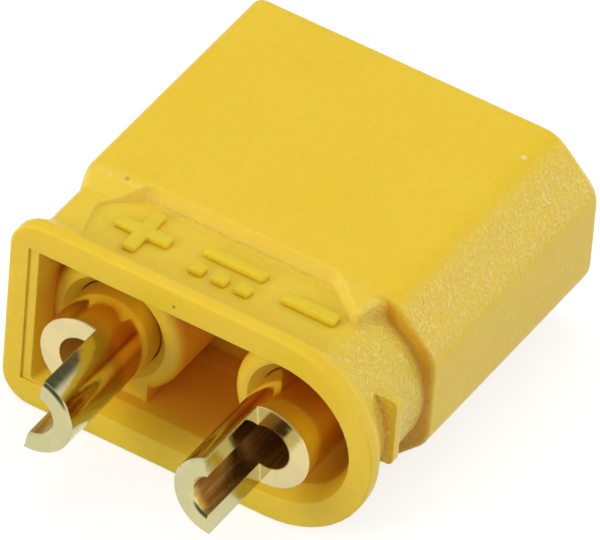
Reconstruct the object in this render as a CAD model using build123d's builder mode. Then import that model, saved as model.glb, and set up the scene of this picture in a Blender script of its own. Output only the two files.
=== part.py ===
from build123d import *
import math
import os

# Two-pole battery connector plug, millimetres.
# X is the width, with the square (positive) end at -X and the round (negative) end at +X.
# Y is the length, from the solder cups at -Y to the mating face at +Y. Z is up.
# The plug lies on its broad side, and the origin is the middle of its box, at the bottom.

# Driving dimensions: contacts
CONTACT_PITCH = 5.0          # between the two contact axes
CUP_DIAMETER = 2.25          # outside of the solder cup and its shaft
CUP_BORE = 1.2               # drilled for the wire
CUP_BORE_DEPTH = 2.6         # bore beyond the set-back face
CUP_MOUTH = 1.34             # countersink at the very end of the cup
CUP_MOUTH_DEPTH = 0.07
CUP_OPEN_LENGTH = 2.23       # half shell in front of the set-back face
CUP_REACH = 0.57             # set-back face in front of the rear rim
CUP_EDGE = 0.07              # broken outer edges of the cup and of the socket
POSITIVE_TILT = 10.0         # turn of the half shell, degrees from upright
NEGATIVE_TILT = 6.0
POSITIVE_CUT = 0.12          # the half shell starts this far beside its axis
NEGATIVE_CUT = 0.22
COLLAR_DIAMETER = 2.9        # over the rings that hold it in the housing
COLLAR_LENGTH = 1.2
COLLAR_RINGS = 3
RING_HEIGHT = 0.06
SOCKET_BORE = 2.0            # takes a 2 mm pin
SOCKET_WALL = 0.36
SOCKET_DEPTH = 5.2
SOCKET_LEAD = 0.2            # chamfer at the mouth of the socket
SOCKET_RECESS = 0.3          # socket mouth behind the mating face
DRILL_POINT = 0.577          # depth of a drill's point for each mm of its radius

# Driving dimensions: housing
BLOCK_LENGTH = 7.3           # mating block
BLOCK_HEIGHT = 4.94
BLOCK_MARGIN = 2.25          # contact axis to the side of the block, both ends
BLOCK_CORNER = 0.35
BLOCK_CHAMFER = 1.2          # slants of the negative end
BLOCK_CHAMFER_ROUND = 0.9
BLOCK_EDGE = 0.2             # rounding round the mating face
SHOULDER_STEP = 0.27         # the neck lies this far below the block's broad sides
SHOULDER_SIDE_STEP = 0.17    # and this far inside its ends
SHOULDER_EDGE = 0.11         # rounded edge of the shoulder
SHOULDER_BLEND = 0.1         # hollow rounding at its foot
RAMP_LENGTH = 0.55           # the square end of the block ramps down to the neck
RAMP_BLEND = 0.6             # rounding of its top
BODY_START = 2.9             # rear rim to the shoulder of the mating block
NECK_CORNER = 0.3
RIM_LIP = 0.5                # the rim stands out this far round the neck
RIM_SIDE_LIP = 0.36          # the same at both ends
RIM_CORNER = 0.8
RIM_THICKNESS = 0.36         # along the length
RIM_EDGE = 0.06              # rounding of the rim's outer edge
RIM_WALL = 0.71              # lip round the pocket mouth
RIM_SQUARE_WALL = 0.75       # the same at the square end
RIM_ROUND_WALL = 0.6         # and at the round end
FLARE_LENGTH = 0.6           # slope from the rim down to the neck
FLARE_ROUND = 0.3            # rounding where the rim turns into the slope
FLARE_BLEND = 0.5            # hollow rounding where the slope meets the neck
TONGUE_REACH = 0.8           # block surface beside the field, in front of the shoulder
TONGUE_TIP = 0.26            # its width at the tip
TONGUE_ROOT = 0.4            # at the shoulder, before its hollow corner
TONGUE_BLEND = 0.4           # that corner
TONGUE_ROUND = 0.2           # rounded corner of the tip
POCKET_DEPTH = 3.3
POCKET_NECK_WALL = 0.45      # wall of the neck round the pocket
POCKET_TAPER = 0.5           # the pocket narrows over this depth
POCKET_CORNER = 0.12
LEDGE_WIDTH = 0.24           # shallow step at the square end of the mouth
LEDGE_DEPTH = 0.06
BOSS_RADIUS = 1.8
BOSS_SETBACK = 0.78          # boss face behind the rim face
BOSS_ROUND = 0.32            # rounded outer edge of the boss face
BOSS_WEB = 2.0               # width of the foot that joins a boss to the pocket walls
BOSS_CUT = 0.68              # the negative boss ends this far before its axis
BOSS_LEAD = 0.25             # countersink round the contact
CONTACT_CLEARANCE = 0.02     # round the shaft, the rings and the socket
HOLE_CHAMFER = 0.25          # mouths in the mating face
FIELD_DEPTH = 0.08           # marking field below the neck
FIELD_DRAFT = 20             # slope of the field's walls, degrees
FIELD_RIM_BAND = 0.55        # rim face to the floor of the field
FIELD_CORNER = 0.45
FIELD_SQUARE_REACH = 1.4     # positive axis to the side of the field
FIELD_ROUND_REACH = 0.4      # negative axis to the side of the field
FIELD_LEAN = 0.36            # both sides lean this much towards the round end at the rim
FIELD_INTO_BLOCK = 0.02      # behind the shoulder
FIELD_NARROWING = 0.95       # each side, where it runs into the block
RIB_LENGTH = 1.9             # small rib on the round side of the neck
RIB_THICKNESS = 0.25
RIB_REACH = 0.22
RIB_ROUND = 0.15             # its rounded ends
RIB_SETBACK = 1.2            # behind the rim face
RIB_RISE = 0.3               # its middle above the contact axes

# Places that follow from the sizes above
neck_height = BLOCK_HEIGHT - 2 * SHOULDER_STEP
neck_margin = BLOCK_MARGIN - SHOULDER_SIDE_STEP
rim_height = neck_height + 2 * RIM_LIP
rim_margin = neck_margin + RIM_SIDE_LIP
axis_height = rim_height / 2
total_length = CUP_OPEN_LENGTH + CUP_REACH + BODY_START + BLOCK_LENGTH
positive_x = -CONTACT_PITCH / 2
negative_x = CONTACT_PITCH / 2
cup_end_y = -total_length / 2
set_back_y = cup_end_y + CUP_OPEN_LENGTH
rim_y = set_back_y + CUP_REACH
flare_y = rim_y + RIM_THICKNESS
neck_y = flare_y + FLARE_LENGTH
rib_y = rim_y + RIB_SETBACK
shoulder_y = rim_y + BODY_START
ramp_y = shoulder_y - RAMP_LENGTH
tongue_y = shoulder_y - TONGUE_REACH
root_y = shoulder_y + SHOULDER_EDGE
mating_y = shoulder_y + BLOCK_LENGTH
boss_y = rim_y + BOSS_SETBACK
floor_y = rim_y + POCKET_DEPTH
socket_y = mating_y - SOCKET_RECESS
socket_floor_y = socket_y - SOCKET_DEPTH
collar_y = socket_floor_y - COLLAR_LENGTH
field_left = positive_x - FIELD_SQUARE_REACH
field_right = negative_x + FIELD_ROUND_REACH
tongue_left = field_right - FIELD_NARROWING
field_depth = RIM_LIP + FIELD_DEPTH
field_front = rim_y + FIELD_RIM_BAND
field_back = shoulder_y + FIELD_INTO_BLOCK
far_side = BLOCK_MARGIN + CONTACT_PITCH
shaft_bore = CUP_DIAMETER / 2 + CONTACT_CLEARANCE
collar_bore = COLLAR_DIAMETER / 2 + CONTACT_CLEARANCE
ALONG = (0, 1, 0)


def station(y):
    """Upright plane across the plug at y, seen from the solder cups: local x is X, local y is Z."""
    return Plane(origin=(0, y, axis_height), x_dir=(1, 0, 0), z_dir=(0, -1, 0))


def lengthwise(axis_x):
    """Upright plane through one contact axis: local x runs along the plug, local y is a radius."""
    return Plane(origin=(axis_x, 0, axis_height), x_dir=ALONG, z_dir=(-1, 0, 0))


def round_end_outline(square_margin, round_margin, height, corner):
    """Square at the positive end, a half circle beside the negative contact at the other."""
    left = positive_x - square_margin
    half = height / 2
    middle = negative_x + round_margin - half
    with BuildSketch(mode=Mode.PRIVATE) as outline:
        with BuildLine():
            Line((middle, -half), (left, -half))
            Line((left, -half), (left, half))
            Line((left, half), (middle, half))
            CenterArc((middle, 0), half, 90, -180)
        make_face()
        fillet(outline.vertices().group_by(Axis.X)[0], corner)
    return outline.sketch


def rim_outline():
    """The rim seen from behind."""
    return round_end_outline(rim_margin, rim_margin, rim_height, RIM_CORNER)


def neck_outline():
    """The neck between the rim and the block."""
    return round_end_outline(neck_margin, neck_margin, neck_height, NECK_CORNER)


def inside_neck(wall):
    """The neck's outline, drawn in by this wall all round."""
    margin = neck_margin - wall
    return round_end_outline(margin, margin, neck_height - 2 * wall, POCKET_CORNER)


def block_outline():
    """Square at the positive end, slanted and rounded at the negative end."""
    left = positive_x - BLOCK_MARGIN
    right = negative_x + BLOCK_MARGIN
    half = BLOCK_HEIGHT / 2
    slant = BLOCK_CHAMFER
    with BuildSketch(mode=Mode.PRIVATE) as outline:
        with BuildLine():
            Polyline(
                (left, -half),
                (right - slant, -half),
                (right, -half + slant),
                (right, half - slant),
                (right - slant, half),
                (left, half),
                close=True,
            )
        make_face()
        slant_ends = outline.vertices().filter_by(lambda v: v.X > left + slant)
        fillet(slant_ends, BLOCK_CHAMFER_ROUND)
        fillet(outline.vertices().group_by(Axis.X)[0], BLOCK_CORNER)
    return outline.sketch


def square_end_outline(margin, height, corner):
    """Only the square end, as far as the positive contact."""
    with BuildSketch(mode=Mode.PRIVATE) as outline:
        with Locations((positive_x, 0)):
            Rectangle(margin, height, align=(Align.MAX, Align.CENTER))
        fillet(outline.vertices().group_by(Axis.X)[0], corner)
    return outline.sketch


def boss(axis_x, round_side):
    """Boss with a rounded face and a foot to both broad walls, cut off at round_side."""
    with BuildPart() as solid:
        with BuildSketch(lengthwise(axis_x)):
            with BuildLine():
                Polyline(
                    (boss_y, BOSS_RADIUS - BOSS_ROUND),
                    (boss_y, 0),
                    (floor_y, 0),
                    (floor_y, BOSS_RADIUS),
                    (boss_y + BOSS_ROUND, BOSS_RADIUS),
                )
                CenterArc((boss_y + BOSS_ROUND, BOSS_RADIUS - BOSS_ROUND), BOSS_ROUND, 90, 90)
            make_face()
        revolve(axis=Axis((axis_x, 0, axis_height), ALONG))
        with BuildSketch(station(boss_y)):
            with Locations((axis_x, 0)):
                Rectangle(BOSS_WEB, rim_height)
        extrude(amount=floor_y - boss_y, dir=ALONG)
        with BuildSketch(station(boss_y)):
            with Locations((round_side, 0)):
                Rectangle(far_side, rim_height, align=(Align.MAX, Align.CENTER))
        extrude(amount=floor_y - boss_y, dir=ALONG, mode=Mode.INTERSECT)
    return solid.part


def rear_pocket():
    """The hollow behind the rim, wider at its mouth; the bosses are left standing in it."""
    square_mouth = rim_margin - RIM_SQUARE_WALL
    round_mouth = rim_margin - RIM_ROUND_WALL
    mouth_height = rim_height - 2 * RIM_WALL
    with BuildPart() as pocket:
        with BuildSketch(station(rim_y)):
            add(round_end_outline(square_mouth, round_mouth, mouth_height, POCKET_CORNER))
        with BuildSketch(station(rim_y + POCKET_TAPER)):
            add(inside_neck(POCKET_NECK_WALL))
        loft(ruled=True)
        with BuildSketch(station(rim_y + POCKET_TAPER)):
            add(inside_neck(POCKET_NECK_WALL))
        extrude(amount=POCKET_DEPTH - POCKET_TAPER, dir=ALONG)

        # Shallow ledge inside the square end of the mouth
        with BuildSketch(station(rim_y)):
            with Locations((positive_x - square_mouth, 0)):
                Rectangle(2 * LEDGE_WIDTH, mouth_height)
        extrude(amount=LEDGE_DEPTH, dir=ALONG)
        add(boss(positive_x, 0), mode=Mode.SUBTRACT)
        add(boss(negative_x, negative_x - BOSS_CUT), mode=Mode.SUBTRACT)
    return pocket.part


# Moulded body
with BuildPart() as housing:
    # Mating block, drawn forward as far as its tongues reach
    with BuildSketch(station(tongue_y)):
        add(block_outline())
    extrude(amount=mating_y - tongue_y, dir=ALONG)
    fillet(housing.faces().sort_by(Axis.Y)[-1].edges(), BLOCK_EDGE)

    # Shoulder, cut back on both sides of the tongues
    with BuildSketch(Plane.XY):
        with BuildLine():
            Polyline(
                (-far_side, tongue_y),
                (tongue_left, tongue_y),
                (tongue_left, shoulder_y),
                (-far_side, shoulder_y),
                close=True,
            )
        make_face()
    extrude(amount=rim_height, mode=Mode.SUBTRACT)
    with BuildSketch(Plane.XY) as notch:
        with BuildLine():
            Polyline(
                (field_right + TONGUE_TIP, tongue_y),
                (field_right + TONGUE_ROOT, shoulder_y),
                (far_side, shoulder_y),
                (far_side, tongue_y),
                close=True,
            )
        make_face()
        fillet(notch.vertices().group_by(Axis.Y)[-1].sort_by(Axis.X)[0], TONGUE_BLEND)
    extrude(amount=rim_height, mode=Mode.SUBTRACT)
    tips = housing.edges().filter_by(Axis.Z).group_by(Axis.Y)[0].sort_by(Axis.X)
    fillet(tips[-1], TONGUE_ROUND)
    front = housing.edges().filter_by(lambda e: e.center().Y < shoulder_y + 0.001)
    upright = front.filter_by(Axis.Z).sort_by(Axis.X)
    brow = front.filter_by(Axis.Z, reverse=True).filter_by(lambda e: e.center().X > tongue_left + 0.001)
    fillet(brow + [upright[-1]], SHOULDER_EDGE)

    # Neck, which runs into the block
    with BuildSketch(station(neck_y)):
        add(neck_outline())
    extrude(amount=root_y - neck_y, dir=ALONG)
    curved = housing.faces().filter_by(GeomType.CYLINDER)
    round_side = curved.filter_by(lambda f: abs(f.radius - neck_height / 2) < 0.001)[0]
    crease = round_side.edges().filter_by(GeomType.LINE, reverse=True)
    beside = crease.filter_by(lambda e: e.center().Y > tongue_y - 0.001 and e.center().X > field_right)
    fillet(beside, SHOULDER_BLEND)

    # Ramp at the square end, from the neck up to the block
    with BuildSketch(station(ramp_y)):
        add(square_end_outline(neck_margin, neck_height, NECK_CORNER))
    with BuildSketch(station(shoulder_y)):
        add(square_end_outline(BLOCK_MARGIN, BLOCK_HEIGHT, BLOCK_CORNER))
    loft(ruled=True)
    ramp_head = housing.edges().filter_by(lambda e: abs(e.center().Y - shoulder_y) < 0.001)
    fillet(ramp_head.filter_by(lambda e: e.center().X < field_left + FIELD_NARROWING), RAMP_BLEND)

    # Slope between the rim and the neck
    with BuildSketch(station(flare_y)):
        add(rim_outline())
    with BuildSketch(station(neck_y)):
        add(neck_outline())
    loft(ruled=True)
    slope_foot = housing.edges().filter_by(lambda e: abs(e.center().Y - neck_y) < 0.001)
    fillet(slope_foot, FLARE_BLEND)

    # Rim
    with BuildSketch(station(rim_y)):
        add(rim_outline())
    extrude(amount=RIM_THICKNESS, dir=ALONG)
    slope_head = housing.edges().filter_by(lambda e: abs(e.center().Y - flare_y) < 0.001)
    fillet(slope_head, FLARE_ROUND)
    fillet(housing.faces().sort_by(Axis.Y)[0].edges(), RIM_EDGE)

    # Small rib on the round side of the neck
    with BuildSketch(station(rib_y)) as rib:
        with Locations((negative_x, RIB_RISE)):
            Rectangle(neck_margin + RIB_REACH, RIB_LENGTH, align=(Align.MIN, Align.CENTER))
        fillet(rib.vertices().group_by(Axis.X)[-1], RIB_ROUND)
    extrude(amount=RIB_THICKNESS, dir=ALONG)

    # Sunk marking fields on both broad sides
    for floor, outward in ((rim_height - field_depth, 1), (field_depth, -1)):
        with BuildSketch(Plane.XY.offset(floor)) as field:
            with BuildLine():
                Polyline(
                    (field_left + FIELD_LEAN, field_front),
                    (field_left, tongue_y),
                    (field_left + FIELD_NARROWING, field_back),
                    (field_right - FIELD_NARROWING, field_back),
                    (field_right, tongue_y),
                    (field_right + FIELD_LEAN, field_front),
                    close=True,
                )
            make_face()
            fillet(field.vertices(), FIELD_CORNER)
        extrude(amount=outward * field_depth, taper=-FIELD_DRAFT, mode=Mode.SUBTRACT)

    # Hollow rear pocket
    add(rear_pocket(), mode=Mode.SUBTRACT)

    # Stepped bores for the contacts: shaft from the rear, collar and socket from the mating face
    for axis_x in (positive_x, negative_x):
        with BuildSketch(lengthwise(axis_x)):
            with BuildLine():
                Polyline(
                    (boss_y, 0),
                    (boss_y, shaft_bore + BOSS_LEAD),
                    (boss_y + BOSS_LEAD, shaft_bore),
                    (collar_y, shaft_bore),
                    (collar_y, collar_bore),
                    (mating_y - HOLE_CHAMFER, collar_bore),
                    (mating_y, collar_bore + HOLE_CHAMFER),
                    (mating_y, 0),
                    close=True,
                )
            make_face()
        revolve(axis=Axis((axis_x, 0, axis_height), ALONG), mode=Mode.SUBTRACT)

housing.part.label = "housing"


def turned_contact(axis_x, facing, cut):
    """One turned contact; its half shell keeps the side that faces this many degrees from +X."""
    cup = CUP_DIAMETER / 2
    ring = COLLAR_DIAMETER / 2
    collar = ring - RING_HEIGHT
    socket = SOCKET_BORE / 2 + SOCKET_WALL
    bore_end_y = set_back_y + CUP_BORE_DEPTH
    step = COLLAR_LENGTH / (2 * COLLAR_RINGS + 1)
    rings = []
    for number in range(COLLAR_RINGS):
        start = collar_y + (2 * number + 1) * step
        rings += [(start, collar), (start, ring), (start + step, ring), (start + step, collar)]
    with BuildPart() as contact:
        with BuildSketch(lengthwise(axis_x)):
            with BuildLine():
                Polyline(
                    (cup_end_y, CUP_MOUTH / 2),
                    (cup_end_y, cup - CUP_EDGE),
                    (cup_end_y + CUP_EDGE, cup),
                    (collar_y, cup),
                    (collar_y, collar),
                    *rings,
                    (socket_floor_y, collar),
                    (socket_floor_y, socket),
                    (socket_y - CUP_EDGE, socket),
                    (socket_y, socket - CUP_EDGE),
                    (socket_y, SOCKET_BORE / 2 + SOCKET_LEAD),
                    (socket_y - SOCKET_LEAD, SOCKET_BORE / 2),
                    (socket_floor_y, SOCKET_BORE / 2),
                    (socket_floor_y - SOCKET_BORE / 2 * DRILL_POINT, 0),
                    (bore_end_y + CUP_BORE / 2 * DRILL_POINT, 0),
                    (bore_end_y, CUP_BORE / 2),
                    (cup_end_y + CUP_MOUTH_DEPTH, CUP_BORE / 2),
                    close=True,
                )
            make_face()
        revolve(axis=Axis((axis_x, 0, axis_height), ALONG))

        # The mouth of the cup is cut away to a half shell
        toward = (math.cos(math.radians(facing)), 0, math.sin(math.radians(facing)))
        with BuildSketch(Plane(origin=(axis_x, cup_end_y, axis_height), x_dir=toward, z_dir=ALONG)):
            with Locations((cut, 0)):
                Rectangle(2 * CUP_DIAMETER, 2 * CUP_DIAMETER, align=(Align.MAX, Align.CENTER))
        extrude(amount=CUP_OPEN_LENGTH, mode=Mode.SUBTRACT)
    return contact


positive_contact = turned_contact(positive_x, -POSITIVE_TILT, POSITIVE_CUT)
positive_contact.part.label = "positive_contact"
negative_contact = turned_contact(negative_x, 180 + NEGATIVE_TILT, NEGATIVE_CUT)
negative_contact.part.label = "negative_contact"

os.makedirs("parts", exist_ok=True)
export_step(housing.part, "parts/housing.step")
export_step(positive_contact.part, "parts/positive_contact.step")
export_step(negative_contact.part, "parts/negative_contact.step")
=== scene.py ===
"""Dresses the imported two-pole battery plug: its nylon moulding, plated contacts and raised polarity marks.

The frame is the part's own: X from the square (positive) end to the round (negative) end, Y from the solder
cups to the mating face, Z up. Lengths in the classes below are in millimetres, as in the part's source.
"""

import logging
import math
from dataclasses import dataclass, field
from enum import Enum

import bmesh
import bpy
from mathutils import Matrix, Vector


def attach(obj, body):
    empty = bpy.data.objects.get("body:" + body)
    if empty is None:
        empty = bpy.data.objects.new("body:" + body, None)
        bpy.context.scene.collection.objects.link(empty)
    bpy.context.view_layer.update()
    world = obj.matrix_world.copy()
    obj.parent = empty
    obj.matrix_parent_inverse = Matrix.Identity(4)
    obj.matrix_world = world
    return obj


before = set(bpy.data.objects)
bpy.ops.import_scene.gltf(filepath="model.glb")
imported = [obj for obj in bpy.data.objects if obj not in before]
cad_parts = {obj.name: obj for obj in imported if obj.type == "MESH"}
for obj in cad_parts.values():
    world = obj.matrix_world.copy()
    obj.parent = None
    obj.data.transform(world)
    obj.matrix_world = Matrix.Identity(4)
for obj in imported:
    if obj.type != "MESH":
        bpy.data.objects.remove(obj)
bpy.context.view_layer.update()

LOG = logging.getLogger("battery_plug")
MM = 0.001
Colour = tuple[float, float, float]
Point = tuple[float, float, float]
Socket = bpy.types.NodeSocket
Tree = bpy.types.NodeTree
Node = bpy.types.Node


def srgb(red: int, green: int, blue: int) -> Colour:
    """Turns a colour read from a screen into the linear values that shaders take.

    Args:
        red: Red from 0 to 255.
        green: Green from 0 to 255.
        blue: Blue from 0 to 255.

    Returns:
        The linear red, green and blue.
    """
    def line(value: int) -> float:
        """Linear value of one channel."""
        part = value / 255
        return part / 12.92 if part <= 0.04045 else ((part + 0.055) / 1.055) ** 2.4
    return line(red), line(green), line(blue)


class Nodes:
    """A node tree that is filled one named node at a time."""

    def __init__(self, tree: Tree) -> None:
        """Empties the tree.

        Args:
            tree: The material's, world's or group's node tree.
        """
        self.tree = tree
        tree.nodes.clear()

    def add(self, kind: str, name: str = "", **settings: object) -> Node:
        """Adds a node.

        Args:
            kind: Blender's class name for the node.
            name: What the node is for.
            **settings: Properties of the node.

        Returns:
            The new node.
        """
        node = self.tree.nodes.new(kind)
        if name:
            node.name = node.label = name
        for key, value in settings.items():
            setattr(node, key, value)
        return node

    def join(self, source: Socket, target: Socket) -> None:
        """Links an output to an input."""
        self.tree.links.new(source, target)

    def feed(self, node: Node, key: int | str, value: object) -> None:
        """Sets or links one input.

        Args:
            node: The node whose input it is.
            key: The input's name or number.
            value: A number, a tuple, or the output socket to link.
        """
        if isinstance(value, Socket):
            self.join(value, node.inputs[key])
        else:
            node.inputs[key].default_value = value

    def maths(self, operation: str, *values: object, name: str = "", clamp: bool = False) -> Socket:
        """Adds a Math node.

        Args:
            operation: Blender's name for the sum.
            *values: Numbers or output sockets, in order.
            name: What the node is for.
            clamp: Keep the result between 0 and 1.

        Returns:
            The node's output.
        """
        node = self.add("ShaderNodeMath", name, operation=operation, use_clamp=clamp)
        for key, value in enumerate(values):
            self.feed(node, key, value)
        return node.outputs[0]

    def product(self, *values: object, name: str = "") -> Socket:
        """Multiplies two or more values.

        Args:
            *values: Numbers or output sockets, in order.
            name: What the result is for.

        Returns:
            The product.
        """
        result, *others, last = values
        for other in others:
            result = self.maths("MULTIPLY", result, other)
        return self.maths("MULTIPLY", result, last, name=name)

    def split(self, vector: Socket, name: str = "axes") -> tuple[Socket, ...]:
        """Splits a vector.

        Args:
            vector: The output that carries it.
            name: What the vector is.

        Returns:
            Its X, Y and Z.
        """
        node = self.add("ShaderNodeSeparateXYZ", name)
        self.join(vector, node.inputs[0])
        return tuple(node.outputs)

    def vector(self, operation: str, *values: object, name: str = "") -> Node:
        """Adds a Vector Math node.

        Args:
            operation: Blender's name for the sum.
            *values: Vectors or output sockets, in order.
            name: What the node is for.

        Returns:
            The node.
        """
        node = self.add("ShaderNodeVectorMath", name, operation=operation)
        for key, value in enumerate(values):
            self.feed(node, key, value)
        return node

    def noise(self, where: Socket, scale: object, detail: float = 2.0, rough: float = 0.5,
              name: str = "") -> Socket:
        """Adds a Noise Texture.

        Args:
            where: The coordinates that it reads.
            scale: Grains per unit.
            detail: Octaves.
            rough: Weight of the finer octaves.
            name: What the node is for.

        Returns:
            The noise value, about 0.5 on average.
        """
        node = self.add("ShaderNodeTexNoise", name)
        self.feed(node, "Vector", where)
        self.feed(node, "Scale", scale)
        self.feed(node, "Detail", detail)
        self.feed(node, "Roughness", rough)
        return node.outputs["Fac"]

    def remap(self, value: Socket, low: object, high: object, to_low: object = 0.0, to_high: object = 1.0,
              name: str = "") -> Socket:
        """Adds a smooth Map Range, clamped at both ends.

        Args:
            value: What is mapped.
            low: Start of the span that is read.
            high: End of the span that is read.
            to_low: Result at the start.
            to_high: Result at the end.
            name: What the node is for.

        Returns:
            The mapped value.
        """
        node = self.add("ShaderNodeMapRange", name, interpolation_type="SMOOTHSTEP")
        for key, part in enumerate((value, low, high, to_low, to_high)):
            self.feed(node, key, part)
        return node.outputs[0]

    def blend(self, factor: object, first: object, second: object, mode: str = "MIX",
              name: str = "") -> Socket:
        """Adds a colour Mix node.

        Args:
            factor: Share of the second colour.
            first: Colour or socket.
            second: Colour or socket.
            mode: How the colours are combined.
            name: What the node is for.

        Returns:
            The mixed colour.
        """
        node = self.add("ShaderNodeMix", name, data_type="RGBA", blend_type=mode)
        self.feed(node, 0, factor)
        for key, colour in ((6, first), (7, second)):
            self.feed(node, key, (*colour, 1.0) if isinstance(colour, tuple) else colour)
        return node.outputs[2]

    def millimetres(self) -> Socket:
        """Adds the piece's own coordinates, in millimetres.

        Returns:
            The coordinates.
        """
        place = self.add("ShaderNodeTexCoord", "place")
        scaled = self.vector("SCALE", place.outputs["Object"], name="millimetres")
        scaled.inputs["Scale"].default_value = 1.0 / MM
        return scaled.outputs[0]

    def bump(self, height: Socket, depth: float, strength: float = 1.0,
             normal: Socket | None = None, name: str = "") -> Socket:
        """Adds a Bump node.

        Args:
            height: The relief, 0 to 1.
            depth: Its depth in millimetres.
            strength: Share of the effect.
            normal: A normal that it goes on from.
            name: What the relief is.

        Returns:
            The bent normal.
        """
        node = self.add("ShaderNodeBump", name)
        self.feed(node, "Strength", strength)
        self.feed(node, "Distance", depth * MM)
        self.join(height, node.inputs["Height"])
        if normal is not None:
            self.join(normal, node.inputs["Normal"])
        return node.outputs[0]


class Effects:
    """The shader groups that more than one finish uses, each built once."""

    def __init__(self) -> None:
        """Builds the groups."""
        self.mottle = self._mottle()
        self.specks = self._specks()

    def _group(self, name: str, inputs: dict[str, float],
               outputs: tuple[str, ...]) -> tuple[Nodes, Node, Node]:
        """Starts a group with a vector input called Place.

        Args:
            name: The group's name.
            inputs: Its number inputs and their defaults.
            outputs: Its number outputs.

        Returns:
            The group's nodes, its input node and its output node.
        """
        tree = bpy.data.node_groups.new(name, "ShaderNodeTree")
        tree.interface.new_socket("Place", in_out="INPUT", socket_type="NodeSocketVector")
        for key, value in inputs.items():
            socket = tree.interface.new_socket(key, in_out="INPUT", socket_type="NodeSocketFloat")
            socket.default_value = value
        for key in outputs:
            tree.interface.new_socket(key, in_out="OUTPUT", socket_type="NodeSocketFloat")
        nodes = Nodes(tree)
        return nodes, nodes.add("NodeGroupInput"), nodes.add("NodeGroupOutput")

    def _mottle(self) -> Tree:
        """Soft clouds with finer ones on them.

        Returns:
            The group: Broad and Fine in and out as sizes and values.
        """
        inputs = {"Broad Scale": 0.4, "Fine Scale": 4.0, "Contrast": 1.0}
        nodes, given, result = self._group("mottle", inputs, ("Broad", "Fine"))
        for key, detail in (("Broad", 2.0), ("Fine", 4.0)):
            cloud = nodes.noise(given.outputs["Place"], given.outputs[f"{key} Scale"], detail, name=key)
            centred = nodes.maths("SUBTRACT", cloud, 0.5)
            spread = nodes.maths("MULTIPLY_ADD", centred, given.outputs["Contrast"], 0.5, clamp=True)
            nodes.join(spread, result.inputs[key])
        return nodes.tree

    def _specks(self) -> Tree:
        """Small scattered specks of varied size.

        Returns:
            The group: Mask is 1 inside a speck.
        """
        inputs = {"Scale": 1.0, "Size": 0.08, "Share": 0.3}
        nodes, given, result = self._group("specks", inputs, ("Mask",))
        cells = nodes.add("ShaderNodeTexVoronoi", "cells")
        nodes.join(given.outputs["Place"], cells.inputs["Vector"])
        nodes.join(given.outputs["Scale"], cells.inputs["Scale"])
        pick = nodes.add("ShaderNodeSeparateColor", "pick")
        nodes.join(cells.outputs["Color"], pick.inputs[0])
        chosen = nodes.maths("LESS_THAN", pick.outputs[0], given.outputs["Share"], name="chosen")
        radius = nodes.product(given.outputs["Size"], nodes.remap(pick.outputs[1], 0, 1, 0.35, 1.0))
        inner = nodes.product(radius, 0.5)
        spot = nodes.remap(cells.outputs["Distance"], inner, radius, 1.0, 0.0, name="spot")
        nodes.join(nodes.product(spot, chosen), result.inputs["Mask"])
        return nodes.tree

    def place(self, nodes: Nodes, group: Tree, where: Socket,
              **values: float) -> Node:
        """Puts a group into a material.

        Args:
            nodes: The material's nodes.
            group: Which group.
            where: The coordinates that it reads.
            **values: Its number inputs, with _ for a space.

        Returns:
            The group node.
        """
        node = nodes.add("ShaderNodeGroup", group.name)
        node.node_tree = group
        nodes.join(where, node.inputs["Place"])
        for key, value in values.items():
            node.inputs[key.replace("_", " ")].default_value = value
        return node


def dress(piece: bpy.types.Object, material: bpy.types.Material) -> None:
    """Gives a piece its only material."""
    piece.data.materials.clear()
    piece.data.materials.append(material)


class Grain(Enum):
    """Where the mould's spark-eroded grain shows."""

    ROUND_SIDE = "strong on the slanted, round side, faint on the broad sides"
    EVEN = "the same all over"


@dataclass(frozen=True)
class Spot:
    """One mark of use on the moulding: a scuff, or a dark speck in the nylon."""

    place: Point
    radius: float
    colour: Colour


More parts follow.
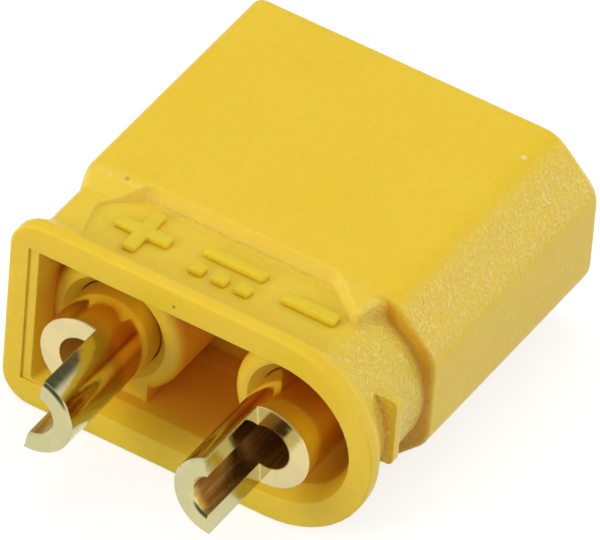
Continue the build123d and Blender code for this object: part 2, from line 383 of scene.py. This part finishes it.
@dataclass(frozen=True)
class NylonFinish:
    """Dyed nylon moulding: satin, slightly translucent, with spark-eroded grain."""

    name: str
    grain: Grain
    axis_z: float = 2.7
    pole_x: float = 2.5
    light: Colour = (0.91, 0.63, 0.036)
    deep: Colour = (0.89, 0.60, 0.020)
    # The pocket colour and its share: painted warm shade on the rear pocket's walls, stronger deeper in.
    pocket: Colour = (0.98, 0.40, 0.04)
    pocket_shade_share: float = 0.62
    # The crease colour, its reach and its share: painted shade in hollows, corners and the neck's crease.
    crease: Colour = (0.64, 0.28, 0.005)
    hollow_shade_reach: float = 0.5
    hollow_shade_share: float = 0.8
    # A pale colour for real rubs, also used for the painted highlights on grain peaks and edges.
    scuff_and_glint: Colour = srgb(254, 228, 128)
    # Painted light: a paler colour on the sunk fields' walls and floors.
    field_painted_light: Colour = (0.86, 0.69, 0.15)
    dirt: Colour = srgb(120, 92, 24)
    roughness: float = 0.42
    gloss: float = 0.38
    grain_size: float = 10.5
    grain_depth: float = 0.036
    grain_from: float = 3.45
    grain_to: float = 3.95
    neck_grain: float = 0.6
    # Painted highlight: the next two values pale the grain's peaks as glints and lay a painted sheen over
    # the grained round side.
    peak_glint_share: float = 0.55
    grain_sheen: float = 0.28
    # Share of the painted edge highlight, which also stands for edge wear.
    edge_wear_and_highlight_share: float = 0.75
    edge_round: float = 0.045
    translucency: float = 0.35
    glow_depth: float = 0.9
    spots: tuple[Spot, ...] = ()

    def material(self, effects: Effects) -> bpy.types.Material:
        """Builds the material.

        Args:
            effects: The shared groups.

        Returns:
            The nylon.
        """
        material = bpy.data.materials.new(self.name)
        material.use_nodes = True
        nodes = Nodes(material.node_tree)
        out = nodes.add("ShaderNodeOutputMaterial")
        shader = nodes.add("ShaderNodeBsdfPrincipled", "nylon")
        nodes.feed(shader, "IOR", 1.53)
        nodes.feed(shader, "Specular IOR Level", self.gloss)
        nodes.feed(shader, "Subsurface Weight", self.translucency)
        nodes.feed(shader, "Subsurface Radius", (1.0, 0.30, 0.05))
        nodes.feed(shader, "Subsurface Scale", self.glow_depth * MM)
        where = nodes.millimetres()

        clouds = effects.place(nodes, effects.mottle, where, Broad_Scale=0.35, Fine_Scale=5.0, Contrast=1.8)
        colour = nodes.blend(clouds.outputs["Broad"], self.deep, self.light, name="dye")
        fine = nodes.remap(clouds.outputs["Fine"], 0.2, 0.8, 0.98, 1.01, name="fine shade")
        shade = nodes.add("ShaderNodeCombineColor", "shade")
        for channel in range(3):
            nodes.join(fine, shade.inputs[channel])
        colour = nodes.blend(1.0, colour, shade.outputs[0], "MULTIPLY", name="shaded dye")

        dust = effects.place(nodes, effects.specks, where, Scale=1.1, Size=0.07, Share=0.08)
        colour = nodes.blend(nodes.product(dust.outputs["Mask"], 0.4), colour, self.dirt, name="dust")
        rubs = effects.place(nodes, effects.specks, where, Scale=2.3, Size=0.09, Share=0.2)
        colour = nodes.blend(nodes.product(rubs.outputs["Mask"], 0.22), colour, self.scuff_and_glint, name="rubs")
        for spot in self.spots:
            away = nodes.vector("DISTANCE", where, spot.place, name="from spot")
            inner = spot.radius * 0.35
            mask = nodes.remap(away.outputs["Value"], inner, spot.radius, 0.85, 0.0, name="spot")
            colour = nodes.blend(mask, colour, spot.colour, name="with spot")
        # Painted shade: corners and hollows that ambient occlusion finds are tinted towards the crease
        # colour, less on the broad sides.
        hollow = nodes.add("ShaderNodeAmbientOcclusion", "hollows", samples=8, only_local=True)
        nodes.feed(hollow, "Distance", self.hollow_shade_reach * MM)
        open_sky = hollow.outputs["AO"]
        axes = nodes.split(where)
        level = nodes.maths("SUBTRACT", axes[2], self.axis_z)
        height = nodes.maths("ABSOLUTE", level, name="from the middle plane")
        paler = nodes.remap(height, 1.95, 2.1, self.hollow_shade_share, 0.1, name="less painted shade on the broad sides")
        hollow_shade = nodes.product(nodes.remap(open_sky, 0.15, 0.68, 1.0, 0.0), paler, name="hollow_shade")
        colour = nodes.blend(hollow_shade, colour, self.crease, name="painted shade in hollows")
        rounded = nodes.add("ShaderNodeBevel", "softened edges", samples=6)
        nodes.feed(rounded, "Radius", self.edge_round * MM)

        grain = nodes.noise(where, self.grain_size, 1.5, 0.45, name="eroded grain")
        crisp = nodes.remap(grain, 0.2, 0.8, name="crisp grain")
        amount: object = 0.3
        if self.grain is Grain.ROUND_SIDE:
            away = self.pole_distance(nodes, axes)
            pocket = self.pocket_shade_mask(nodes, away, axes)
            # Painted shade: the pocket's walls darken to a warm orange towards its depth.
            colour = nodes.blend(pocket, colour, self.pocket, name="painted shade in the pocket")
            # Painted shade along the crease where the neck meets the block.
            colour = nodes.blend(self.crease_shade_mask(nodes, axes), colour, self.crease, name="painted shade in the crease")
            amount = self.grain_amount(nodes, away, axes)
            # Painted glints and sheen: the grain's peaks on the round side are paled as if catching the
            # light.
            peak_glints = nodes.remap(grain, 0.49, 0.68, 0.0, self.peak_glint_share, name="peak_glints")
            grain_sheen = nodes.product(nodes.maths("ADD", peak_glints, self.grain_sheen), amount)
            colour = nodes.blend(grain_sheen, colour, self.scuff_and_glint, name="painted glints and sheen on the grain")
            # Painted light: the sunk fields, and most of all their walls, are paled as if lit from the
            # front.
            field_light = self.lit_field_mask(nodes, axes, height)
            colour = nodes.blend(field_light, colour, self.field_painted_light, name="painted light on the field")
        # Painted highlight and edge wear: outer edges are paled in broken dots.
        rubbed = self.edge_wear_and_highlight(nodes, where, rounded, open_sky)
        colour = nodes.blend(rubbed, colour, self.scuff_and_glint, name="painted highlight and wear on edges")
        nodes.join(colour, shader.inputs["Base Color"])
        relief = nodes.product(crisp, amount, name="grain relief")
        sweep = nodes.maths("MULTIPLY_ADD", clouds.outputs["Fine"], 0.04, relief, name="relief")
        skin = nodes.bump(sweep, self.grain_depth, normal=rounded.outputs[0], name="moulded surface")
        nodes.join(skin, shader.inputs["Normal"])
        dull, shiny = self.roughness + 0.07, self.roughness - 0.05
        polish = nodes.remap(crisp, 0.0, 1.0, dull, shiny, name="satin")
        shine = nodes.maths("MULTIPLY_ADD", amount, -0.12, polish, name="shinier grain")
        nodes.join(shine, shader.inputs["Roughness"])
        nodes.join(shader.outputs[0], out.inputs["Surface"])
        return material

    def edge_wear_and_highlight(self, nodes: Nodes, where: Socket, rounded: Node,
                     open_sky: Socket) -> Socket:
        """Finds the outer edges for a painted highlight that also stands for edge wear, broken up into dots.

        Args:
            nodes: The material's nodes.
            where: The coordinates in millimetres.
            rounded: The node that gives the softened normal.
            open_sky: How open a point is, which is low in a corner.

        Returns:
            0 on the faces, up to the share of painted highlight and wear at an edge.
        """
        true = nodes.add("ShaderNodeNewGeometry", "true normal")
        turned = nodes.vector("DOT_PRODUCT", rounded.outputs[0], true.outputs["Normal"], name="turned by")
        edge = nodes.remap(turned.outputs["Value"], 0.93, 0.995, self.edge_wear_and_highlight_share, 0.0, name="edge")
        dots = nodes.noise(where, 6.5, 2.0, 0.6, name="dots")
        broken = nodes.remap(dots, 0.4, 0.62, 0.1, 1.0, name="broken up")
        outer = nodes.remap(open_sky, 0.62, 0.85, name="outer edges")
        return nodes.product(edge, broken, outer, name="rubbed")

    def lit_field_mask(self, nodes: Nodes, axes: tuple[Socket, ...], height: Socket) -> Socket:
        """Finds the sunk fields and the low walls round them, which painted light makes paler than the broad
        sides.

        Args:
            nodes: The material's nodes.
            axes: The coordinates in millimetres, split into X, Y and Z.
            height: The distance from the middle plane.

        Returns:
            0 elsewhere, 0.12 on the fields' floors and up to 0.5 on their walls.
        """
        across, along, _ = axes
        facing = nodes.split(nodes.add("ShaderNodeTexCoord", "skin").outputs["Normal"], "facing")
        flat = nodes.maths("ABSOLUTE", facing[2])
        share = nodes.remap(flat, 0.5, 0.97, 0.5, 0.12, name="walls more than floors")
        behind = nodes.remap(along, -3.3, -3.2, name="behind the rim")
        before = nodes.remap(along, -0.72, -0.55, 1.0, 0.0, name="before the broad side")
        above = nodes.remap(height, 2.07, 2.11, name="on the broad sides")
        left = nodes.remap(across, 3.1, 3.4, 1.0, 0.0, name="left of the round side")
        return nodes.product(behind, before, above, left, share, name="field")

    def crease_shade_mask(self, nodes: Nodes, axes: tuple[Socket, ...]) -> Socket:
        """Finds the narrow crease where the round side of the neck meets the block, which gets a painted
        shade.

        Args:
            nodes: The material's nodes.
            axes: The coordinates in millimetres, split into X, Y and Z.

        Returns:
            0 away from the crease, up to 1 in its middle.
        """
        band = nodes.remap(axes[1], -1.02, -0.66)
        middle = nodes.product(nodes.maths("PINGPONG", band, 0.5), 1.9, name="middle of the crease")
        side = nodes.remap(axes[0], 2.85, 3.7, name="on the round side")
        return nodes.product(middle, side, name="crease")

    def pole_distance(self, nodes: Nodes, axes: tuple[Socket, ...]) -> Socket:
        """Measures how far a point is from the line that joins both poles, across the plug.

        Args:
            nodes: The material's nodes.
            axes: The coordinates in millimetres, split into X, Y and Z.

        Returns:
            The distance; the pocket's walls lie within 1.82 and the outside beyond 1.95.
        """
        across = nodes.maths("ABSOLUTE", axes[0])
        past = nodes.maths("SUBTRACT", across, self.pole_x)
        beyond = nodes.maths("MAXIMUM", past, 0.0, name="beyond the poles")
        height = nodes.maths("SUBTRACT", axes[2], self.axis_z, name="from the middle plane")
        off = nodes.add("ShaderNodeCombineXYZ", "off axis")
        nodes.join(beyond, off.inputs[0])
        nodes.join(height, off.inputs[2])
        return nodes.vector("LENGTH", off.outputs[0], name="from the pole line").outputs["Value"]

    def pocket_shade_mask(self, nodes: Nodes, away: Socket, axes: tuple[Socket, ...]) -> Socket:
        """Finds the walls of the rear pocket, where light that went through the nylon is warmer; a warm,
        darker painted shade stands in for it.

        Args:
            nodes: The material's nodes.
            away: The distance from the pole line.
            axes: The coordinates in millimetres, split into X, Y and Z.

        Returns:
            0 outside and at the mouth, up to the painted shade's share in its depth.
        """
        within = nodes.remap(away, 1.82, 1.95, self.pocket_shade_share, 0.0, name="within the walls")
        down = nodes.remap(axes[1], -3.7, -2.5, name="down the pocket")
        ends = nodes.remap(axes[1], 0.5, 1.5, 1.0, 0.0, name="not on the mating side")
        facing = nodes.split(nodes.add("ShaderNodeTexCoord", "skin").outputs["Normal"], "facing")
        walls = nodes.remap(facing[1], -0.8, -0.3, 0.25, 1.0, name="walls, not boss faces")
        return nodes.product(within, down, ends, walls, name="pocket")

    def grain_amount(self, nodes: Nodes, away: Socket, axes: tuple[Socket, ...]) -> Socket:
        """Says how strong the eroded grain is: on the slant, the round side and the step behind the signs.

        Args:
            nodes: The material's nodes.
            away: The distance from the pole line.
            axes: The coordinates in millimetres, split into X, Y and Z.

        Returns:
            The grain's strength from 0 to 1.
        """
        across, along, _ = axes
        shift = nodes.remap(along, -0.95, -0.75, self.neck_grain, 0.0, name="sooner on the neck")
        moved = nodes.maths("ADD", across, shift)
        begun = nodes.remap(moved, self.grain_from, self.grain_to, 0.05, 1.0, name="round side")
        ended = nodes.remap(across, 4.62, 4.74, 1.0, 0.14, name="short of the end face")
        behind_rim = nodes.remap(along, -3.35, -3.0, 0.1, 1.0, name="behind the rim")
        outside = nodes.remap(away, 1.85, 1.98, name="outside")
        crease = nodes.remap(along, -1.05, -0.62)
        smooth = nodes.maths("PINGPONG", crease, 0.5, name="smooth crease")
        kept = nodes.maths("MULTIPLY_ADD", smooth, -2.0, 1.0)
        side = nodes.product(begun, ended, behind_rim, outside, kept, name="grain of the round side")
        foot = nodes.remap(along, -0.98, -0.90, name="behind the signs")
        head = nodes.remap(along, -0.80, -0.74, 1.0, 0.0, name="before the broad side")
        left = nodes.remap(across, 2.7, 2.95, 0.45, 0.0, name="left of the round side")
        step = nodes.product(foot, head, left, name="step behind the signs")
        return nodes.maths("MAXIMUM", side, step, name="grain amount")


@dataclass(frozen=True)
class PlatedFinish:
    """Thin gold plating on turned brass, for one contact."""

    name: str
    axis_x: float
    dark_reflection_from: float
    dark_reflection_to: float
    axis_z: float = 2.7
    bright: Colour = (0.89, 0.69, 0.32)
    pale: Colour = (0.57, 0.53, 0.275)
    stain: Colour = (0.42, 0.27, 0.10)
    bore: Colour = (0.90, 0.54, 0.10)
    trough: Colour = (0.86, 0.63, 0.17)
    # A painted dark reflection in the solder troughs, darkening from the tip towards the bore.
    trough_dark_reflection: Colour = (0.28, 0.125, 0.016)
    inner_metal: float = 1.0
    bore_radius: float = 0.6
    bore_from: float = -4.7
    bore_to: float = -4.1
    worn_to: float = -4.5
    worn_from: float = -4.0
    ring_pitch: float = 9.0
    ring_depth: float = 0.0016
    edge_round: float = 0.06

    def material(self, effects: Effects) -> bpy.types.Material:
        """Builds the material.

        Args:
            effects: The shared groups.

        Returns:
            The plating.
        """
        material = bpy.data.materials.new(self.name)
        material.use_nodes = True
        nodes = Nodes(material.node_tree)
        out = nodes.add("ShaderNodeOutputMaterial")
        shader = nodes.add("ShaderNodeBsdfPrincipled", "plating")
        nodes.feed(shader, "Metallic", 1.0)
        where = nodes.millimetres()
        axis = (self.axis_x, 0.0, self.axis_z)
        centred = nodes.vector("SUBTRACT", where, axis, name="from axis").outputs[0]
        across = nodes.vector("MULTIPLY", centred, (1.0, 0.0, 1.0), name="across").outputs[0]
        radius = nodes.vector("LENGTH", across, name="radius").outputs["Value"]
        along = nodes.split(centred)[1]

        clouds = effects.place(nodes, effects.mottle, where, Broad_Scale=1.3, Fine_Scale=7.0, Contrast=2.0)
        worn = nodes.remap(along, self.worn_to, self.worn_from, 1.0, 0.0, name="worn end")
        rubbed = nodes.remap(clouds.outputs["Broad"], 0.2, 0.8, -0.12, 0.12, name="rubbed")
        wear = nodes.maths("ADD", worn, rubbed, clamp=True)
        colour = nodes.blend(wear, self.bright, self.pale, name="gold")
        flecks = effects.place(nodes, effects.specks, where, Scale=3.2, Size=0.12, Share=0.14)
        colour = nodes.blend(nodes.product(flecks.outputs["Mask"], 0.35), colour, self.stain, name="stains")

        edge = self.bore_radius
        inside = nodes.remap(radius, edge + 0.002, edge + 0.012, 1.0, 0.0, name="inside the bore")
        drawn = nodes.vector("MULTIPLY", centred, (5.0, 0.35, 5.0), name="drawn out").outputs[0]
        streaks = nodes.noise(drawn, 1.0, 3.0, 0.6, name="streaks")
        # Painted dark reflection: the trough's lining darkens from its tip towards the bore.
        darkened_by_reflection = nodes.remap(along, self.dark_reflection_from, self.dark_reflection_to, name="painted dark reflection down the trough")
        lining = nodes.blend(darkened_by_reflection, self.trough, self.trough_dark_reflection, name="trough with painted dark reflection")
        deep = nodes.remap(along, self.bore_from, self.bore_to, name="down the bore")
        lining = nodes.blend(deep, lining, self.bore, name="trough and bore")
        streaked = nodes.remap(streaks, 0.38, 0.62, 0.75, 0.0)
        lining = nodes.blend(streaked, lining, self.stain, name="streaked lining")
        beads = effects.place(nodes, effects.specks, where, Scale=5.0, Size=0.22, Share=0.12)
        lining = nodes.blend(beads.outputs["Mask"], lining, self.bright, name="beads in the lining")
        colour = nodes.blend(inside, colour, lining, name="with bore")
        nodes.join(colour, shader.inputs["Base Color"])
        if self.inner_metal < 1.0:
            varnished = nodes.product(inside, deep, 1.0 - self.inner_metal)
            metal = nodes.maths("SUBTRACT", 1.0, varnished, name="less metal down the bore")
            nodes.join(metal, shader.inputs["Metallic"])

        turning = nodes.add("ShaderNodeCombineXYZ", "turning")
        nodes.join(nodes.product(radius, self.ring_pitch), turning.inputs[0])
        nodes.join(nodes.product(along, self.ring_pitch * 0.6), turning.inputs[1])
        rings = nodes.noise(turning.outputs[0], 1.0, 2.0, 0.6, name="turned rings")
        rounded = nodes.add("ShaderNodeBevel", "softened edges", samples=6)
        nodes.feed(rounded, "Radius", self.edge_round * MM)
        normal = nodes.bump(rings, self.ring_depth, normal=rounded.outputs[0], name="rings")
        normal = nodes.bump(clouds.outputs["Fine"], 0.001, 0.6, normal, name="plated skin")
        lumps = nodes.product(nodes.maths("MULTIPLY_ADD", streaks, 0.4, beads.outputs["Mask"]), inside)
        normal = nodes.bump(lumps, 0.02, 1.0, normal, name="rough lining")
        nodes.join(normal, shader.inputs["Normal"])
        polish = nodes.remap(clouds.outputs["Fine"], 0.25, 0.75, 0.09, 0.17, name="polish")
        dull = nodes.maths("MULTIPLY_ADD", deep, 0.22, 0.2, name="duller down the bore")
        sheen = nodes.maths("MULTIPLY_ADD", inside, dull, polish, name="dull bore")
        nodes.join(sheen, shader.inputs["Roughness"])
        nodes.join(shader.outputs[0], out.inputs["Surface"])
        return material


class Side(Enum):
    """A broad side of the plug."""

    TOP = 1
    BOTTOM = -1


@dataclass
class PolarityMarks:
    """Raised generic signs in the sunk fields: plus, direct current and minus, on both broad sides."""

    axis_z: float = 2.7
    floor_height: float = 2.12
    proud: float = 0.16
    sink: float = 0.03
    middle_y: float = -1.86
    reach: float = 1.45
    stroke: float = 0.36
    plus_x: float = -2.5
    direct_x: float = -0.2
    minus_x: float = 2.0
    soft: float = 0.075

    def post(self, shape: bmesh.types.BMesh, middle: tuple[float, float],
             size: tuple[float, float]) -> list[bmesh.types.BMVert]:
        """Adds a square post that stands on the field's floor.

        Args:
            shape: The mesh that it is added to.
            middle: Its middle across the field.
            size: Its width along X and its length along Y.

        Returns:
            Its points.
        """
        tall = self.proud + self.sink
        place = Matrix.Translation((*middle, self.floor_height - self.sink + tall / 2))
        scaled = place @ Matrix.Diagonal((*size, tall, 1.0))
        return bmesh.ops.create_cube(shape, size=1.0, matrix=scaled)["verts"]

    def bar(self, shape: bmesh.types.BMesh, middle: tuple[float, float],
            size: tuple[float, float]) -> None:
        """Adds one bar that stands on the field's floor.

        Args:
            shape: The mesh that it is added to.
            middle: Its middle across the field.
            size: Its width along X and its length along Y.
        """
        self.soften(shape, self.post(shape, middle, size))

    def cross(self, shape: bmesh.types.BMesh, middle: tuple[float, float], reach: float) -> None:
        """Adds a plus sign: a square post whose four sides are drawn out.

        Args:
            shape: The mesh that it is added to.
            middle: Its middle across the field.
            reach: Its overall size.
        """
        verts = set(self.post(shape, middle, (self.stroke, self.stroke)))
        shape.normal_update()
        sides = [f for f in shape.faces if verts.issuperset(f.verts) and abs(f.normal.z) < 0.5]
        for side in sides:
            outward = side.normal.copy()
            drawn = bmesh.ops.extrude_discrete_faces(shape, faces=[side])["faces"][0]
            bmesh.ops.translate(shape, vec=outward * (reach - self.stroke) / 2, verts=drawn.verts)
            verts.update(drawn.verts)
        self.soften(shape, list(verts))

    def soften(self, shape: bmesh.types.BMesh, verts: list[bmesh.types.BMVert]) -> None:
        """Rounds the edges of a sign, as its mould's cutter leaves them.

        Args:
            shape: The mesh.
            verts: The sign's points.
        """
        kept = set(verts)
        shape.normal_update()
        floor = self.floor_height - self.sink + 0.001
        edges = [e for e in shape.edges if kept.issuperset(e.verts) and max(v.co.z for v in e.verts) > floor
                 and len(e.link_faces) == 2 and e.calc_face_angle(0.0) > 0.3]
        bmesh.ops.bevel(shape, geom=edges, offset=self.soft, affect="EDGES", segments=4, profile=0.5,
                        material=-1, clamp_overlap=True)

    def finish(self, shape: bmesh.types.BMesh, name: str, side: Side) -> bpy.types.Object:
        """Places a sign on its side of the plug and makes it a piece.

        Args:
            shape: The sign, above the contact axes.
            name: The piece's name.
            side: Which broad side it stands on.

        Returns:
            The piece.
        """
        if side is Side.BOTTOM:
            bmesh.ops.scale(shape, vec=(1.0, 1.0, -1.0), verts=shape.verts)
        bmesh.ops.translate(shape, vec=(0.0, 0.0, self.axis_z), verts=shape.verts)
        bmesh.ops.scale(shape, vec=(MM, MM, MM), verts=shape.verts)
        bmesh.ops.recalc_face_normals(shape, faces=shape.faces)
        mesh = bpy.data.meshes.new(name)
        shape.to_mesh(mesh)
        shape.free()
        mesh.shade_smooth()
        piece = bpy.data.objects.new(name, mesh)
        bpy.context.scene.collection.objects.link(piece)
        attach(piece, "root")
        return piece

    def build(self, material: bpy.types.Material) -> list[bpy.types.Object]:
        """Builds the three signs on both sides.

        Args:
            material: The nylon that they are dressed in.

        Returns:
            The six pieces.
        """
        pieces = []
        for side in Side:
            end = side.name.lower()
            plus = bmesh.new()
            self.cross(plus, (self.plus_x, self.middle_y), self.reach)
            pieces.append(self.finish(plus, f"plus_sign_{end}", side))
            direct = bmesh.new()
            wide, thick = self.reach * 1.15, self.stroke * 0.9
            self.bar(direct, (self.direct_x, self.middle_y + 0.3), (wide, thick))
            for step in (-1, 0, 1):
                dash_x = self.direct_x + step * wide * 0.37
                self.bar(direct, (dash_x, self.middle_y - 0.36), (wide * 0.24, thick))
            pieces.append(self.finish(direct, f"direct_current_sign_{end}", side))
            minus = bmesh.new()
            self.bar(minus, (self.minus_x, self.middle_y), (self.reach, self.stroke))
            pieces.append(self.finish(minus, f"minus_sign_{end}", side))
        for piece in pieces:
            dress(piece, material)
            LOG.info("built %s", piece.name)
        return pieces


@dataclass
class Lamp:
    """One soft, square studio light."""

    name: str
    place: Point
    size: float
    watts: float
    in_gloss: bool = True


@dataclass
class Studio:
    """Pale floor, soft lights and the camera at the photograph's angle."""

    azimuth: float = 28.8622
    elevation: float = 41.5368
    roll: float = 4.8951
    distance: float = 316.1543
    aim: Point = (0.0, -3.70, 2.7)
    shift_right: float = 2.5644
    shift_up: float = 2.7289
    pixels_focal: float = 13883.4
    picture_width: int = 600
    floor_reach: float = 400.0
    floor_gap: float = 0.02
    floor_white: float = 0.70
    floor_paint: float = 0.45
    sky_light: float = 0.54
    room: float = 0.12
    wall: Point = (-0.77, 0.60, 0.22)
    ceiling: Point = (0.05, 0.70, 0.71)
    lamps: tuple[Lamp, ...] = (
        Lamp("overhead", (-50, 60, 220), 150, 0.094, in_gloss=False),
        Lamp("left_front", (-125, -180, 85), 100, 0.24, in_gloss=False),
        Lamp("right_back", (115, 155, 125), 60, 0.094, in_gloss=False),
        Lamp("right", (225, 10, 50), 110, 0.06),
    )

    def back(self) -> Vector:
        """Works out the direction from the plug to the camera.

        Returns:
            The direction, one long.
        """
        azimuth, elevation = math.radians(self.azimuth), math.radians(self.elevation)
        level = math.cos(elevation)
        return Vector((math.sin(azimuth) * level, -math.cos(azimuth) * level, math.sin(elevation)))

    def camera(self) -> bpy.types.Object:
        """Builds the camera and makes it the scene's.

        Returns:
            The camera.
        """
        data = bpy.data.cameras.new("photo_camera")
        data.sensor_width = 36.0
        data.lens = self.pixels_focal / self.picture_width * data.sensor_width
        azimuth, roll = math.radians(self.azimuth), math.radians(self.roll)
        back = self.back()
        right = Vector((math.cos(azimuth), math.sin(azimuth), 0.0))
        up = back.cross(right)
        across = right * math.cos(roll) + up * math.sin(roll)
        upward = up * math.cos(roll) - right * math.sin(roll)
        place = Vector(self.aim) + across * self.shift_right + upward * self.shift_up + back * self.distance
        camera = bpy.data.objects.new("photo_camera", data)
        turn = Matrix((across, upward, back)).transposed().to_4x4()
        camera.matrix_world = Matrix.Translation(place * MM) @ turn
        data.clip_start = 0.05
        data.clip_end = 3.0
        bpy.context.scene.collection.objects.link(camera)
        bpy.context.scene.camera = camera
        return camera

    def light(self, lamp: Lamp) -> None:
        """Adds a soft light that faces the plug.

        Args:
            lamp: Its name, place, size and power.
        """
        data = bpy.data.lights.new(lamp.name, "AREA")
        data.size = lamp.size * MM
        data.energy = lamp.watts
        thing = bpy.data.objects.new(lamp.name, data)
        spot = Vector(lamp.place) * MM
        outward = (spot - Vector((0.0, 0.0, 2.7)) * MM).to_track_quat("Z", "Y").to_matrix().to_4x4()
        thing.matrix_world = Matrix.Translation(spot) @ outward
        thing.visible_glossy = lamp.in_gloss
        bpy.context.scene.collection.objects.link(thing)

    def shown(self, nodes: Nodes) -> Socket:
        """Tells rays that should see the white background.

        Args:
            nodes: The material's or world's nodes.

        Returns:
            1 for rays from the camera, in gloss and through glass.
        """
        path = nodes.add("ShaderNodeLightPath", "ray")
        seen = nodes.maths("ADD", path.outputs["Is Camera Ray"], path.outputs["Is Transmission Ray"])
        return nodes.maths("ADD", seen, path.outputs["Is Glossy Ray"], clamp=True)

    def floor(self) -> bpy.types.Object:
        """Builds the pale floor.

        Returns:
            The floor.
        """
        mesh = bpy.data.meshes.new("floor")
        shape = bmesh.new()
        bmesh.ops.create_grid(shape, x_segments=1, y_segments=1, size=self.floor_reach * MM)
        bmesh.ops.translate(shape, vec=Vector((0, 0, -self.floor_gap * MM)), verts=shape.verts)
        shape.to_mesh(mesh)
        shape.free()
        floor = bpy.data.objects.new("floor", mesh)
        bpy.context.scene.collection.objects.link(floor)
        material = bpy.data.materials.new("pale_floor")
        material.use_nodes = True
        nodes = Nodes(material.node_tree)
        out = nodes.add("ShaderNodeOutputMaterial")
        paint = nodes.add("ShaderNodeBsdfPrincipled", "paint")
        nodes.feed(paint, "Base Color", (self.floor_paint, self.floor_paint, self.floor_paint, 1.0))
        nodes.feed(paint, "Roughness", 0.9)
        nodes.feed(paint, "Emission Color", (1.0, 1.0, 1.0, 1.0))
        white = nodes.product(self.shown(nodes), self.floor_white, name="white where it is seen")
        nodes.join(white, paint.inputs["Emission Strength"])
        nodes.join(paint.outputs[0], out.inputs["Surface"])
        dress(floor, material)
        return floor

    def world(self) -> None:
        """Fills the surroundings with even light, white behind the plug."""
        world = bpy.data.worlds.new("studio")
        bpy.context.scene.world = world
        world.use_nodes = True
        nodes = Nodes(world.node_tree)
        out = nodes.add("ShaderNodeOutputWorld")
        sky = nodes.add("ShaderNodeBackground", "white")
        nodes.join(nodes.remap(self.shown(nodes), 0.0, 1.0, self.sky_light, 1.0), sky.inputs["Strength"])
        nodes.join(self.dim_room(nodes), sky.inputs["Color"])
        nodes.join(sky.outputs[0], out.inputs["Surface"])

    def dim_room(self, nodes: Nodes) -> Socket:
        """Darkens the room behind the camera, a low wall on the left and the ceiling behind, in gloss.

        Args:
            nodes: The world's nodes.

        Returns:
            The colour of the surroundings.
        """
        camera = tuple(self.back())
        place = nodes.add("ShaderNodeTexCoord", "direction")
        parts = (("room", camera, 0.5), ("wall", self.wall, 0.72), ("ceiling", self.ceiling, 0.86))
        dark: object = 0.0
        for name, towards, near in parts:
            facing = nodes.vector("DOT_PRODUCT", place.outputs["Generated"], towards, name=f"to the {name}")
            part = nodes.remap(facing.outputs["Value"], near, 0.96, name=name)
            dark = nodes.maths("MAXIMUM", dark, part, name=f"dark with the {name}")
        path = nodes.add("ShaderNodeLightPath", "gloss")
        dim = nodes.product(dark, path.outputs["Is Glossy Ray"], name="dim in gloss")
        shade = (self.room, self.room, self.room * 0.92)
        return nodes.blend(dim, (1.0, 1.0, 1.0), shade, name="studio room")

    def build(self) -> None:
        """Builds camera, floor, lights and surroundings."""
        self.camera()
        self.floor()
        self.world()
        for lamp in self.lamps:
            self.light(lamp)
        bpy.context.scene.view_settings.view_transform = "Standard"


@dataclass
class Plug:
    """The plug's moulding, its two contacts and its signs."""

    pitch: float = 5.0
    spots: tuple[Spot, ...] = (
        Spot((-0.52, -3.70, 4.96), 0.06, srgb(150, 108, 30)),
        Spot((-3.65, -0.81, 5.17), 0.09, srgb(176, 128, 36)),
        Spot((3.34, 5.23, 5.17), 0.10, srgb(250, 228, 160)),
        Spot((2.85, -3.37, 5.20), 0.09, srgb(255, 240, 200)),
        Spot((4.75, 5.01, 2.59), 0.06, srgb(245, 225, 180)),
        Spot((-1.93, -3.68, 5.38), 0.05, srgb(244, 214, 110)),
        Spot((4.65, -0.82, 2.70), 0.07, srgb(140, 96, 24)),
    )
    marks: PolarityMarks = field(default_factory=PolarityMarks)

    def build(self) -> None:
        """Dresses the moulding and both contacts, and builds the signs."""
        effects = Effects()
        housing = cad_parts["housing"]
        nylon = NylonFinish("yellow_nylon", Grain.ROUND_SIDE, spots=self.spots)
        dress(housing, nylon.material(effects))
        LOG.info("dressed %s", housing.name)
        finishes = {
            "positive": PlatedFinish("positive_plating", -self.pitch / 2, -5.0, -4.4, inner_metal=0.1),
            "negative": PlatedFinish("negative_plating", self.pitch / 2, -6.5, -6.1),
        }
        for name, finish in finishes.items():
            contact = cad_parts[f"{name}_contact"]
            dress(contact, finish.material(effects))
            LOG.info("dressed %s", contact.name)
        self.marks.build(NylonFinish("sign_nylon", Grain.EVEN, grain_depth=0.006).material(effects))


def main() -> None:
    """Builds the plug and then its stage."""
    logging.basicConfig(level=logging.INFO, format="%(message)s")
    Plug().build()
    Studio().build()


if __name__ == "__main__":
    main()
